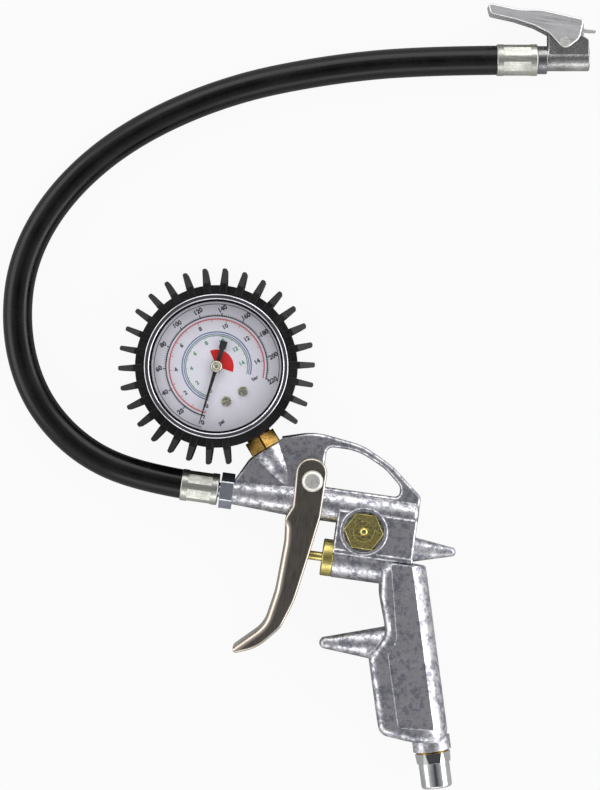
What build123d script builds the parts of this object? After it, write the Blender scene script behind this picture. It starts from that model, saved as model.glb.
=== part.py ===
"""Pistol-grip tyre inflator with a dial gauge, a rubber hose and a clip-on chuck.

The tool lies on its side: X runs along the barrel towards the rear, Y towards the
gauge, Z up through the dial. Lengths are millimetres and angles are degrees. Every
function draws its piece with the trigger pivot at (0, 0) and the barrel's middle
plane at z = 0; the last section stands the whole tool on the floor.
"""

import copy
import math
import os

from build123d import *

# ---------------------------------------------------------------- driving dimensions
RUN = 0.05  # radial clearance of a running fit
GAP = 0.3  # clearance between pieces that pass each other
SIDE_HALF = 13.0  # floor to middle plane: half the thickness of grip and boot

# barrel, from the hose nut at the nose to the closed rear end
BARREL_Y = -9.7
NOSE_X = -34.0
REAR_X = 48.5
NOSE_R = 5.6
TUBE_R = 7.3
NOSE_TAPER = 30.0
AIR_R = 3.2
AIR_END_X = 42.0

# web plate and hanger arch
WEB_T = 8.0
ARCH_EDGE_R = 1.5

# gauge stem: it screws square into a slanted face, whose middle is here
BOSS_X = -22.27
BOSS_Y = 11.36
STEM_TILT = 39.0
BOSS_R = 7.3
BOSS_ROOT_R = 3.6
BOSS_L = 21.0
STEM_THREAD_R = 4.8
STEM_THREAD_L = 9.0
NOSE_THREAD_R = 3.9
NOSE_THREAD_L = 8.0

# valve block, trigger valve and bleed valve
BLOCK_X0 = 13.0
BLOCK_Y0 = -29.0
BLOCK_Y1 = -10.5
BLOCK_HALF = 8.5
LEDGE_H = 2.5
LEDGE_HALF = 9.4
VALVE_Y = -32.7
HOUSING_X0 = 13.8
HOUSING_X1 = 40.0
CHAMBER_R = 6.0
HOUSING_WALL = 2.3
CHAMBER_END_X = 48.0
HOUSING_R = CHAMBER_R + HOUSING_WALL
BLEED_X = 25.4
BLEED_Y = -18.8
RING_WALL = 1.6
RING_TOP = 11.0
RING_FLOOR = 6.2
BLEED_R = 5.6
BLEED_FLOOR = -5.0
BLEED_SEAT = 2.0
BLEED_AF = 15.4
RING_BORE_R = BLEED_AF / math.sqrt(3) + 0.1
RING_R = RING_BORE_R + RING_WALL
BLEED_HEAD = 4.0
BLEED_TRAVEL = 1.5
BUTTON_R = 1.7

# grip, spurs and air inlet
RAKE = 15.5
GRIP_FRONT_R = 3.4
GRIP_BACK = (63.1, -60.0, 0)
GRIP_BACK_R = 12.0
BEAD_R = 1.0
PANEL_DEPTH = 1.4
INLET_X = 69.0
INLET_Y = -110.5
COLLAR_R = 8.4
COLLAR_L = 6.0
INLET_THREAD_R = 4.6
INLET_THREAD_L = 9.0
WASHER_T = 1.0
INLET_AF = 14.0
INLET_HEX_L = 4.4
INLET_NOSE_R = 6.8
INLET_NOSE_L = 11.2
MOUTH_THREAD_R = 4.3
MOUTH_THREAD_L = 9.0
SCREEN_R = 3.9
SCREEN_L = 2.0
PASSAGE_R = 3.2

# trigger
CHEEK_IN = 8.5
SHEET = 1.6
WALL = 2.1
FOLD_R = 3.2
PIN_R = 2.4
PIVOT_BOSS_R = PIN_R + 3.0
PIN_HEAD_R = PIN_R + 2.3
PIN_HEAD_H = 2.1
CLIP_T = 0.7

# valve parts
STEM_R = 2.0
GLAND_HEAD_R = HOUSING_R - 0.1
GLAND_HEAD_L = 5.0
GLAND_END_X = 29.0
GLAND_BORE_R = 3.6
PORT_X = 18.0
PORT_R = 1.5
O_RING_OUT = 3.6
SEAL_T = 1.4
WIRE_R = 0.5

# hose and its ends
HOSE_R = 6.5
HOSE_BORE_R = 3.2
HOSE_REST_Z = HOSE_R + 0.1 - SIDE_HALF
FERRULE_R = HOSE_R + 0.5
FERRULE_L = 16.5
NUT_AF = 14.0
NUT_L = 5.7
NUT_GAP = 0.9

# chuck on the far end of the hose
CHUCK_X = 55.0
CHUCK_Y = 196.0
CHUCK_TILT = 8.0
CHUCK_Z = FERRULE_R + 0.6 - SIDE_HALF
CHUCK_FERRULE_L = 18.0
CHUCK_COLLAR_R = 6.2
CHUCK_COLLAR_END = 22.3
CHUCK_R = 5.4
CHUCK_END = 41.0
MOUTH_R = 4.2
MOUTH_L = 9.0
MOUTH_SEAL_R = 3.9
MOUTH_SEAL_L = 3.0
LEVER_PIVOT = (29.8, 7.4)
LEVER_PIN_R = 1.2
EAR_IN = 3.6
EAR_OUT = 5.2
LEVER_SHEET = 1.0
CLAW_T = 1.2
CLAW_X = 37.4
CLAW_HALF = 2.0
CHUCK_TAIL_R = 3.4

# gauge
CASE_R = 31.0
CASE_WALL = 1.2
BOOT_FLOOR = 2.0
CASE_BACK_Z = BOOT_FLOOR - SIDE_HALF
CASE_FRONT_Z = 15.0
BOOT_WALL = 4.6
BOOT_R = CASE_R + BOOT_WALL
BOOT_FRONT_Z = 13.5
FIN_L = 7.6
FIN_R = BOOT_R + FIN_L
FIN_STEP = 12.0
FIN_COUNT = 27
FIN_T = 3.0
FIN_TIP_T = 1.9
BEZEL_R = CASE_R + 0.6
BEZEL_LIP_R = CASE_R - 1.7
BEZEL_FRONT_Z = 17.0
LENS_T = 1.5
LENS_BACK_Z = 14.0
GASKET_T = 0.8
DIAL_R = CASE_R - CASE_WALL - 0.8
DIAL_T = 0.8
DIAL_Z = 6.6
POINTER_Z = 8.6
POINTER_T = 0.6
POINTER_REACH = DIAL_R - 2.5
POINTER_TAIL = 11.7
SCREW_REACH = 15.8
SCREW_SPREAD = 15.5
GEAR_MODULE = 0.35
PINION_TEETH = 10
SECTOR_TEETH = 50
TOOTH_SHARE = 0.38
GEAR_Z0 = 1.8
GEAR_Z1 = 2.8
SECTOR_DROP = 10.56
SECTOR_TOOTH_COUNT = 11
TAIL_R = 3.6
TAIL_ANGLE = -40.0
LINK_Z = 2.95
LINK_T = 0.5
LINK_PIN_R = 0.5
HAIR_Z = 3.6
HAIR_T = 0.15
HAIR_PITCH = 0.7
HAIR_TURNS = 4
ARBOR_R = 0.8
PLATE_Z0 = -0.2
PLATE_Z1 = 4.8
PLATE_T = 0.8
PILLARS = ((-5.2, 3.2), (5.2, 3.2), (-5.4, -10.6))
PILLAR_R = 1.0
POST_R = 1.6
SCREW_R = 0.9
SCREW_L = 4.0
SCREW_HEAD_R = 2.25
SCREW_HEAD_H = 0.8
POINTER_REST = 228.0
POINTER_HUB_R = 2.7
STEM_FLATS = 14.0
STEM_FLATS_L = 6.0
STEM_REACH = BOOT_R + STEM_FLATS_L + 0.4
NECK_R = 5.6
SOCKET_HALF = 8.0
SOCKET_BACK = -8.0
TUBE_MID_R = CASE_R - 9.0
TUBE_W = 2.4
TUBE_H = 6.4
TUBE_Z = -4.6
TUBE_TIP_ANGLE = -20.0
TUBE_SWEEP = 266.0

CENTRED = (Align.CENTER, Align.CENTER, Align.MIN)


# ---------------------------------------------------------------- shared helpers
def bar(start, end, radius, end_radius=None):
    """A round bar between two points, tapered when a second radius is given."""
    a = Vector(*start)
    b = Vector(*end)
    if end_radius is None:
        shape = Cylinder(radius, (b - a).length, align=CENTRED)
    else:
        shape = Cone(radius, end_radius, (b - a).length, align=CENTRED)
    return Plane(origin=a, z_dir=b - a) * shape


def tube(start, end, radius, bore):
    """A round tube between two points."""
    return bar(start, end, radius) - bar(start, end, bore)


def disc(x, y, z0, z1, radius):
    """An upright round disc between two heights."""
    return Pos(x, y, z0) * Cylinder(radius, z1 - z0, align=CENTRED)


def ring(x, y, z0, z1, radius, bore):
    """An upright ring between two heights."""
    return disc(x, y, z0, z1, radius) - disc(x, y, z0, z1, bore)


def plate(face, z0, z1):
    """A flat face in the XY plane given thickness between two heights."""
    return Pos(0, 0, z0) * extrude(face, amount=z1 - z0, dir=(0, 0, 1))


def outline(*corners):
    """A closed face from corners given as (x, y, corner radius)."""
    points = [(x, y) for x, y, _ in corners]
    return make_face(FilletPolyline(*points, radius=[r for _, _, r in corners], close=True))


def block(x0, x1, y0, y1, z0, z1):
    """A box between six planes."""
    size = Box(x1 - x0, y1 - y0, z1 - z0)
    return Pos((x0 + x1) / 2, (y0 + y1) / 2, (z0 + z1) / 2) * size


def round_rims(solid, radius):
    """The solid with the rims of its highest and lowest faces rounded."""
    faces = solid.faces().sort_by(Axis.Z)
    return fillet(faces[0].edges() + faces[-1].edges(), radius)


def hexagon(across_flats, length, turn=0.0):
    """A hexagonal prism standing on the origin."""
    face = RegularPolygon(across_flats / 2, 6, major_radius=False, rotation=turn)
    return extrude(face, amount=length)


def helix(radius, wire, length, turns):
    """A spring standing on the origin, kept inside its length."""
    rise = length - 2 * wire
    path = Helix(rise / turns, rise, radius)
    section = Plane(origin=path @ 0, z_dir=path % 0) * Circle(wire)
    return Pos(0, 0, wire) * sweep(section, path)


def along_x(shape, x, y, z=0.0):
    """A shape built up the Z axis, laid along X from the given point."""
    return Plane(origin=(x, y, z), x_dir=(0, 0, -1), z_dir=(1, 0, 0)) * shape


# ---------------------------------------------------------------- casting
def stem_direction():
    """Unit vector from the gauge's centre to the casting."""
    tilt = math.radians(STEM_TILT)
    return Vector(math.sin(tilt), -math.cos(tilt), 0)


def boss_face():
    """The middle of the slanted face where the gauge stem screws in."""
    return Vector(BOSS_X, BOSS_Y, 0)


def barrel():
    """The tapered nose and the round air tube behind it."""
    taper_end = NOSE_X + NOSE_TAPER
    nose = bar((NOSE_X, BARREL_Y, 0), (taper_end, BARREL_Y, 0), NOSE_R, TUBE_R)
    rear = bar((taper_end, BARREL_Y, 0), (REAR_X, BARREL_Y, 0), TUBE_R)
    rear = fillet(rear.faces().sort_by(Axis.X)[-1].edges(), 2.5)
    return nose + rear


def web_and_arch():
    """The plate above the barrel, with the hanger arch cut out of it."""
    low = BARREL_Y
    sheet = outline((NOSE_X, low, 2.2), (NOSE_X, -4.2, 2.2), (-29, 5.5, 8), (-18, 17, 10), (-2, 21.6, 30),
                    (20, 18.6, 30), (34, 11.5, 30), (REAR_X, -0.5, 3.2), (REAR_X, low, 2.2))
    hole = outline((4.4, 15.8, 3), (18, 15.9, 25), (31, 9.7, 25), (39, 2.6, 4), (39, -2, 2.2), (4.4, -2, 2.2))
    return round_rims(plate(sheet - hole, -WEB_T / 2, WEB_T / 2), ARCH_EDGE_R)


def gauge_boss():
    """The tapered boss that carries the gauge stem, running out into the barrel."""
    face = boss_face()
    root = face + stem_direction() * BOSS_L
    body = bar(face, root, BOSS_R, BOSS_ROOT_R)
    body = fillet(body.edges().sort_by(Axis.Y)[-1], 1.0)
    return body + Pos(root) * Sphere(BOSS_ROOT_R)


def valve_block():
    """The flat block, its ledge, the valve housing and the bleed valve's ring."""
    body = block(BLOCK_X0, REAR_X - 0.2, BLOCK_Y0, BLOCK_Y1, -BLOCK_HALF, BLOCK_HALF)
    body = fillet(body.edges().filter_by(Axis.X) + body.edges().filter_by(Axis.Y), 1.2)
    ledge = block(BLOCK_X0, REAR_X, BLOCK_Y0 - LEDGE_H / 2, BLOCK_Y0 + LEDGE_H / 2, -LEDGE_HALF, LEDGE_HALF)
    ledge = fillet(ledge.edges(), 0.9)
    housing = bar((HOUSING_X0, VALVE_Y, 0), (HOUSING_X1, VALVE_Y, 0), HOUSING_R)
    collar = disc(BLEED_X, BLEED_Y, 0, RING_TOP, RING_R)
    collar = fillet(collar.faces().sort_by(Axis.Z)[-1].edges(), 0.7)
    return body + ledge + housing + collar


def grip():
    """The raked handle: a round back, a rounded front and an open flat on each side."""
    side = outline((35, -30.5, 6), (36, -45, 20), (41.5, -61.5, 8), (35.2, -73, 7), (44.5, -106, 5),
                   (60, -107.6, 30), (75.8, -105.5, 6), (65.8, -70, 60), (60.5, -50, 60), (54.8, -30.5, 1))
    body = round_rims(plate(side, -SIDE_HALF, SIDE_HALF), GRIP_FRONT_R) & grip_back()
    flat = outline((38.5, -25, 1), (39.6, -33, 20), (46.2, -63.5, 3), (43.2, -70.5, 3), (52.2, -101.8, 2.5),
                   (90, -99, 1), (90, -25, 1))
    for z0 in (SIDE_HALF - PANEL_DEPTH, -SIDE_HALF - 1):
        body -= plate(flat, z0, z0 + PANEL_DEPTH + 1)
    return body + grip_beads()


def grip_back():
    """A bar along the rake whose rear corners are round, to shape the grip's back."""
    along = inlet_direction()
    start = Vector(*GRIP_BACK) - along * 60
    across = Vector(-along.Y, along.X, 0)
    section = RectangleRounded(2 * GRIP_BACK_R + 60, 2 * SIDE_HALF, GRIP_BACK_R)
    bar_plane = Plane(origin=start - across * (GRIP_BACK_R + 30), x_dir=across, z_dir=along)
    return extrude(bar_plane * section, amount=150)


def grip_beads():
    """The raised bead on each side, between the flat and the finger side."""
    lines = [((38.6, -37, 0), (44.9, -65.8, 0)), ((42.4, -70.5, 0), (51.2, -102, 0))]
    beads = []
    for height in (SIDE_HALF - BEAD_R, BEAD_R - SIDE_HALF):
        for start, end in lines:
            a, b = Vector(*start) + Vector(0, 0, height), Vector(*end) + Vector(0, 0, height)
            beads += [bar(a, b, BEAD_R), Pos(a) * Sphere(BEAD_R), Pos(b) * Sphere(BEAD_R)]
    return beads


def spurs():
    """The finger spur in front of the grip and the thumb spur behind the block."""
    tapers = [((46, -66.6, 0), (15.6, -70.1, 0), 8.8, 2.7), ((43, -24.3, 0), (65.0, -22.7, 0), 6.6, 2.1)]
    shape = []
    for root, tip, root_r, tip_r in tapers:
        shape += [bar(root, tip, root_r, tip_r), Pos(*tip) * Sphere(tip_r)]
    return shape


def inlet_direction():
    """Unit vector out of the air inlet, along the rake of the grip."""
    rake = math.radians(RAKE)
    return Vector(math.sin(rake), -math.cos(rake), 0)


def inlet_face():
    """The middle of the collar's end face at the foot of the grip."""
    return Vector(INLET_X, INLET_Y, 0)


def air_passages():
    """Everything that is drilled out of the casting."""
    out = inlet_direction()
    foot = inlet_face()
    face = boss_face()
    stem = stem_direction()
    rise = (foot.Y - VALVE_Y + CHAMBER_R / 2) / out.Y
    return [
        bar((NOSE_X - 1, BARREL_Y, 0), (AIR_END_X, BARREL_Y, 0), AIR_R),
        bar((NOSE_X - 1, BARREL_Y, 0), (NOSE_X + NOSE_THREAD_L, BARREL_Y, 0), NOSE_THREAD_R),
        bar(foot + out, foot - out * rise, PASSAGE_R),
        bar(foot + out, foot - out * INLET_THREAD_L, INLET_THREAD_R),
        bar((HOUSING_X0 - 1, VALVE_Y, 0), (CHAMBER_END_X, VALVE_Y, 0), CHAMBER_R),
        bar((PORT_X, VALVE_Y, 0), (PORT_X, BARREL_Y, 0), 1.8),
        bar(face - stem * 12, face, BOSS_R + 2),
        bar(face - stem, face + stem * 20, 2.2),
        bar(face - stem, face + stem * STEM_THREAD_L, STEM_THREAD_R),
        bar((BLOCK_X0 - 1, VALVE_Y, 0), (HOUSING_X0, VALVE_Y, 0), GLAND_HEAD_R + 2 * RUN),
        disc(BLEED_X, BLEED_Y, RING_FLOOR, RING_TOP + 1, RING_BORE_R),
        disc(BLEED_X, BLEED_Y, BLEED_FLOOR, RING_TOP, BLEED_R),
        bar((BLEED_X, BLEED_Y, BLEED_FLOOR + 1.5), (BLEED_X, BARREL_Y, BLEED_FLOOR + 1.5), 1.2),
        disc(0, 0, -SIDE_HALF, SIDE_HALF, PIN_R),
    ]


def body_casting():
    """The one-piece casting that everything is mounted on."""
    foot = inlet_face()
    collar = bar(foot - inlet_direction() * COLLAR_L, foot, COLLAR_R)
    pivot = disc(0, 0, GAP - CHEEK_IN, CHEEK_IN - GAP, PIVOT_BOSS_R)
    shape = barrel() + web_and_arch() + gauge_boss() + valve_block() + grip() + spurs() + collar + pivot
    for cut in air_passages():
        shape -= cut
    return shape


# ---------------------------------------------------------------- trigger and its pivot
def trigger():
    """A bent sheet channel: two cheeks on the pivot and a wall for the fingers."""
    side = outline((-8, 10, 6.5), (6, 10, 6.5), (5.8, -15, 8), (2.8, -34, 40), (-0.5, -53, 30), (-5, -66, 14),
                   (-14, -76, 20), (-26.2, -80.6, 1.6), (-24.2, -76.4, 3), (-12.5, -65.5, 14),
                   (-9.6, -50, 40), (-8.6, -28, 30), (-9.6, -17.6, 3), (-7, -12, 3))
    fold = outline((-60, -98, 8), (-24.2, -76.4, 3), (-12.5, -65.5, 14), (-9.6, -50, 40), (-8.6, -28, 30),
                   (-9.3, -20, 5), (-24, -14, 6), (-24, 40, 8), (40, 40, 8), (40, -98, 8))
    half = CHEEK_IN + SHEET
    body = round_rims(plate(side, -half, half), 1.1) & round_rims(plate(fold, -half, half), FOLD_R)
    inside = outline((-9.6 + WALL, -17.6, 0.5), (-8.6 + WALL, -28, 30), (-9.6 + WALL, -50, 40),
                     (-12.3 + WALL, -65.5, 3), (12, -67, 3), (12, 14, 1), (-14, 14, 1), (-14, -17.6, 1))
    body -= round_rims(plate(inside, -CHEEK_IN, CHEEK_IN), 1.4)
    return body - disc(0, 0, -SIDE_HALF, SIDE_HALF, PIN_R + RUN)


def trigger_pin():
    """The pivot pin with a domed head over the upper cheek."""
    seat = CHEEK_IN + SHEET + RUN
    head = disc(0, 0, seat, seat + PIN_HEAD_H, PIN_HEAD_R)
    head = fillet(head.faces().sort_by(Axis.Z)[-1].edges(), PIN_HEAD_H * 0.9)
    pin = disc(0, 0, -seat - PIN_HEAD_H, seat, PIN_R)
    groove = ring(0, 0, -seat - CLIP_T - RUN, -seat - RUN, PIN_R + 1, PIN_R - 0.5)
    return head + pin - groove


def trigger_pin_clip():
    """The spring clip in the groove under the lower cheek."""
    seat = CHEEK_IN + SHEET + 2 * RUN
    clip = ring(0, 0, -seat - CLIP_T + RUN, -seat, PIN_R + 1.6, PIN_R - 0.5)
    return clip - block(-1.2, 1.2, -6, 0, -SIDE_HALF, 0)


# ---------------------------------------------------------------- trigger valve
def valve_gland():
    """The brass cartridge: a round head, a ported sleeve and the valve seat."""
    head_x = HOUSING_X0 - GLAND_HEAD_L
    body = bar((head_x, VALVE_Y, 0), (HOUSING_X0, VALVE_Y, 0), GLAND_HEAD_R)
    body = fillet(body.edges().filter_by(GeomType.CIRCLE), 0.6)
    body += bar((HOUSING_X0, VALVE_Y, 0), (GLAND_END_X, VALVE_Y, 0), CHAMBER_R)
    body -= bar((head_x - 1, VALVE_Y, 0), (GLAND_END_X + 1, VALVE_Y, 0), STEM_R + RUN)
    body -= bar((HOUSING_X0 + 2, VALVE_Y, 0), (GLAND_END_X + 1, VALVE_Y, 0), GLAND_BORE_R)
    body -= bar((head_x + 1.6, VALVE_Y, 0), (head_x + 3.6, VALVE_Y, 0), O_RING_OUT)
    body -= tube((PORT_X - 2, VALVE_Y, 0), (PORT_X + 2, VALVE_Y, 0), CHAMBER_R + 1, CHAMBER_R - 0.8)
    return body - bar((PORT_X, VALVE_Y - 10, 0), (PORT_X, VALVE_Y + 10, 0), PORT_R)


def stem_o_ring():
    """The ring that seals the stem inside the gland's head."""
    head_x = HOUSING_X0 - GLAND_HEAD_L
    radius = (O_RING_OUT - STEM_R - RUN) / 2
    return along_x(Torus(STEM_R + RUN + radius, radius), head_x + 2.6, VALVE_Y)


def trigger_wall_x():
    """Where the trigger's inner wall stands at the height of the valve stem."""
    return -8.75 + WALL


def valve_stem():
    """The push rod with a domed end, a collar behind the seal and a spring guide."""
    tip = trigger_wall_x() + GAP + STEM_R
    seal_x = GLAND_END_X + 2 * RUN + SEAL_T
    stem = bar((tip, VALVE_Y, 0), (seal_x + 6, VALVE_Y, 0), STEM_R) + Pos(tip, VALVE_Y, 0) * Sphere(STEM_R)
    return stem + bar((seal_x, VALVE_Y, 0), (seal_x + 1.5, VALVE_Y, 0), CHAMBER_R - 1)


def valve_seal():
    """The rubber washer that closes on the gland's seat."""
    x = GLAND_END_X + 2 * RUN
    return tube((x, VALVE_Y, 0), (x + SEAL_T, VALVE_Y, 0), CHAMBER_R - 1, STEM_R)


def valve_spring():
    """The return spring between the stem's collar and the chamber's end."""
    x = GLAND_END_X + 2 * RUN + SEAL_T + 1.5 + RUN
    return along_x(helix(STEM_R + 1.8, WIRE_R, CHAMBER_END_X - RUN - x, 6), x, VALVE_Y)


# ---------------------------------------------------------------- bleed valve
def bleed_plug():
    """The brass hexagon gland in the ring on the side of the block."""
    shank = disc(BLEED_X, BLEED_Y, BLEED_SEAT, RING_FLOOR, BLEED_R)
    head = Pos(BLEED_X, BLEED_Y, RING_FLOOR) * hexagon(BLEED_AF, BLEED_HEAD, 0)
    head = fillet(head.faces().sort_by(Axis.Z)[-1].edges(), 0.5)
    dish = disc(BLEED_X, BLEED_Y, RING_FLOOR + BLEED_HEAD - 1.0, RING_TOP + 2, 4.6)
    body = shank + head - dish - disc(BLEED_X, BLEED_Y, -2, RING_TOP, BUTTON_R + RUN)
    return body - disc(BLEED_X, BLEED_Y, BLEED_SEAT - 1, RING_FLOOR - 1, 3.6)


def bleed_button():
    """The push pin that opens the bleed valve, with a collar under the gland."""
    top = RING_FLOOR + BLEED_HEAD + BLEED_TRAVEL
    pin = disc(BLEED_X, BLEED_Y, BLEED_FLOOR + 3, top, BUTTON_R)
    pin = fillet(pin.faces().sort_by(Axis.Z)[-1].edges(), 1.0)
    return pin + disc(BLEED_X, BLEED_Y, RING_FLOOR - 3.2, RING_FLOOR - 2.2, 3.2)


def bleed_seal():
    """The rubber ring between the button's collar and the gland."""
    return ring(BLEED_X, BLEED_Y, RING_FLOOR - 2.2, RING_FLOOR - 1 - RUN, 3.2, BUTTON_R)


def bleed_spring():
    """The spring that lifts the button."""
    length = RING_FLOOR - 3.2 - BLEED_FLOOR - 2 * RUN
    return Pos(BLEED_X, BLEED_Y, BLEED_FLOOR + RUN) * helix(2.6, 0.35, length, 4)


# ---------------------------------------------------------------- air inlet
def inlet_connector():
    """The screwed-in inlet: thread, tapered shoulder and a round nose with a mouth."""
    out = inlet_direction()
    face = inlet_face() + out * WASHER_T
    shank = bar(inlet_face() - out * (INLET_THREAD_L - 1), face, INLET_THREAD_R)
    shoulder = Plane(origin=face, z_dir=out) * hexagon(INLET_AF, INLET_HEX_L)
    shoulder &= bar(face, face + out * INLET_HEX_L, INLET_AF * 0.56, INLET_AF * 0.53)
    start = face + out * INLET_HEX_L
    end = start + out * INLET_NOSE_L
    nose = bar(start, end, INLET_NOSE_R)
    nose = fillet(nose.edges().sort_by(Axis.Y)[0], 1.2)
    mouth = bar(end - out * MOUTH_THREAD_L, end + out, MOUTH_THREAD_R)
    pocket = bar(screen_seat(), end, SCREEN_R)
    bore = bar(inlet_face() - out * INLET_THREAD_L, end, PASSAGE_R - 0.6)
    return shank + shoulder + nose - mouth - pocket - bore


def screen_seat():
    """The middle of the strainer's seat, below the threaded mouth."""
    depth = MOUTH_THREAD_L + SCREEN_L
    return inlet_face() + inlet_direction() * (WASHER_T + INLET_HEX_L + INLET_NOSE_L - depth)


def inlet_washer():
    """The brass sealing washer under the inlet."""
    face = inlet_face()
    return tube(face, face + inlet_direction() * WASHER_T, INLET_NOSE_R + 0.5, INLET_THREAD_R)


def inlet_screen():
    """The small strainer cup pressed in below the inlet's threaded mouth."""
    out = inlet_direction()
    seat = screen_seat()
    cup = bar(seat, seat + out * SCREEN_L, SCREEN_R) - bar(seat + out * 0.5, seat + out * 3, SCREEN_R - 0.5)
    for turn in range(6):
        across = Vector(0, 0, 1).rotate(Axis((0, 0, 0), tuple(out)), turn * 60) * 1.9
        cup -= bar(seat + across - out, seat + across + out * 2, 0.45)
    return cup


# ---------------------------------------------------------------- hose
def chuck_axis_point(along):
    """A point on the chuck's axis, measured from the mouth of its ferrule."""
    tilt = math.radians(CHUCK_TILT)
    return CHUCK_X + along * math.cos(tilt), CHUCK_Y + along * math.sin(tilt), CHUCK_Z


HOSE_ROUTE = [
    (-43.5, BARREL_Y, 0),
    (-73, BARREL_Y, 0),
    (-103, -1.9, -2.6),
    (-126.9, 17.8, -5.6),
    (-139.8, 46, HOSE_REST_Z),
    (-141.5, 79, HOSE_REST_Z),
    (-128.6, 111.2, HOSE_REST_Z),
    (-102.4, 140.8, HOSE_REST_Z),
    (-62.6, 166, HOSE_REST_Z),
    (-18, 181.9, HOSE_REST_Z),
    chuck_axis_point(-29.3),
    chuck_axis_point(15.2),
]


def hose_radii(route):
    """The radius at each corner of the route: as large as its two runs allow."""
    points = [Vector(*p) for p in route]
    radii = []
    for before, here, after in zip(points, points[1:], points[2:]):
        half_turn = (here - before).get_angle(after - here) / 2
        shorter = min((here - before).length, (after - here).length)
        radii.append(0.45 * shorter / math.tan(math.radians(half_turn)))
    return radii


def hose():
    """The rubber hose, a tube of straight runs joined by arcs."""
    path = FilletPolyline(*HOSE_ROUTE, radius=hose_radii(HOSE_ROUTE))
    section = Plane(origin=path @ 0, z_dir=path % 0) * (Circle(HOSE_R) - Circle(HOSE_BORE_R))
    solid = sweep(section, path)
    area = math.pi * (HOSE_R ** 2 - HOSE_BORE_R ** 2)
    print("hose length", round(path.length, 1), "radii", [round(r) for r in hose_radii(HOSE_ROUTE)])
    print("hose volume over section times length", round(solid.volume / area / path.length, 5))
    return solid


def nose_nut():
    """The hexagon tail nut screwed into the nose, with the barb inside the hose."""
    back = NOSE_X
    head = along_x(hexagon(NUT_AF, NUT_L, 30), back - NUT_L, BARREL_Y)
    head &= bar((back - NUT_L, BARREL_Y, 0), (back, BARREL_Y, 0), NUT_AF * 0.565)
    body = head + bar((back, BARREL_Y, 0), (back + NOSE_THREAD_L - 1, BARREL_Y, 0), NOSE_THREAD_R)
    body += bar((back - NUT_L - 14, BARREL_Y, 0), (back - NUT_L, BARREL_Y, 0), HOSE_BORE_R)
    bore = bar((back - NUT_L - 15, BARREL_Y, 0), (back + NOSE_THREAD_L, BARREL_Y, 0), HOSE_BORE_R - 1.1)
    return body - bore


def crimped_sleeve(length):
    """A ferrule standing on its closed end: a rolled rim and a six-sided crimp."""
    sleeve = Cylinder(FERRULE_R, length, align=CENTRED)
    sleeve = fillet(sleeve.edges().filter_by(GeomType.CIRCLE), 0.5)
    flats = hexagon(2 * FERRULE_R - 0.7, length - 6)
    crimp = Pos(0, 0, 3) * (Cylinder(FERRULE_R + 1, length - 6, align=CENTRED) - flats)
    hollow = Pos(0, 0, 1.2) * Cylinder(HOSE_R, length, align=CENTRED)
    return sleeve - crimp - hollow - Cylinder(HOSE_BORE_R, 4)


def hose_ferrule_gun():
    """The crimped sleeve on the hose's gun end."""
    closed = Plane(origin=(NOSE_X - NUT_L - NUT_GAP, BARREL_Y, 0), z_dir=(-1, 0, 0))
    return closed * crimped_sleeve(FERRULE_L)


# ---------------------------------------------------------------- chuck
def chuck_frame():
    """The chuck's own axes: x along it to the mouth, y towards the lever."""
    return Pos(CHUCK_X, CHUCK_Y, CHUCK_Z) * Rot(0, 0, CHUCK_TILT)


def hose_ferrule_chuck():
    """The crimped sleeve on the hose's far end."""
    closed = Plane(origin=(CHUCK_FERRULE_L, 0, 0), z_dir=(-1, 0, 0))
    return chuck_frame() * (closed * crimped_sleeve(CHUCK_FERRULE_L))


def chuck_adapter():
    """The threaded tail with a barb inside the hose."""
    start = CHUCK_FERRULE_L
    body = bar((start, 0, 0), (CHUCK_COLLAR_END, 0, 0), CHUCK_COLLAR_R)
    body = fillet(body.edges().filter_by(GeomType.CIRCLE), 0.4)
    body += bar((start - 15, 0, 0), (start + 1, 0, 0), HOSE_BORE_R)
    body += bar((CHUCK_COLLAR_END - 1, 0, 0), (CHUCK_COLLAR_END + 5, 0, 0), CHUCK_TAIL_R)
    return chuck_frame() * (body - bar((start - 16, 0, 0), (CHUCK_COLLAR_END + 6, 0, 0), 1.6))


def chuck_body():
    """The chuck's block with its mouth, its claw slot and two ears for the lever."""
    body = bar((CHUCK_COLLAR_END, 0.5, 0), (CHUCK_END, 0.5, 0), CHUCK_R)
    body = fillet(body.faces().sort_by(Axis.X)[-1].edges(), 0.6)
    ears = outline((CHUCK_COLLAR_END + 0.4, 0.5, 0.5), (CHUCK_COLLAR_END + 0.4, 13.4, 2), (31, 14.4, 8),
                   (CHUCK_END - 0.4, 8.6, 1.5), (CHUCK_END - 0.4, 0.5, 0.5))
    ears = round_rims(plate(ears, -EAR_OUT, EAR_OUT), 0.4)
    well = block(CHUCK_COLLAR_END - 1, CHUCK_END - 5.4, 5.3, 20, -EAR_IN, EAR_IN)
    slot_half = CLAW_HALF + GAP
    slot = block(CLAW_X - 1.1, CLAW_X + CLAW_T + 1.3, 2.6, 20, -slot_half, slot_half)
    x, y = LEVER_PIVOT
    body += ears
    body -= bar((CHUCK_END - MOUTH_L, 0, 0), (CHUCK_END + 1, 0, 0), MOUTH_R)
    body -= bar((CHUCK_END - MOUTH_L - MOUTH_SEAL_L, 0, 0), (CHUCK_END, 0, 0), MOUTH_SEAL_R)
    body -= bar((CHUCK_COLLAR_END - 1, 0, 0), (CHUCK_END, 0, 0), 1.6)
    body -= bar((CHUCK_COLLAR_END - 1, 0, 0), (CHUCK_COLLAR_END + 5, 0, 0), CHUCK_TAIL_R)
    return chuck_frame() * (body - well - slot - disc(x, y, -10, 10, LEVER_PIN_R))


def chuck_seal():
    """The rubber washer at the bottom of the mouth."""
    x = CHUCK_END - MOUTH_L - MOUTH_SEAL_L
    return chuck_frame() * tube((x, 0, 0), (x + MOUTH_SEAL_L, 0, 0), MOUTH_SEAL_R, 2.0)


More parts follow.
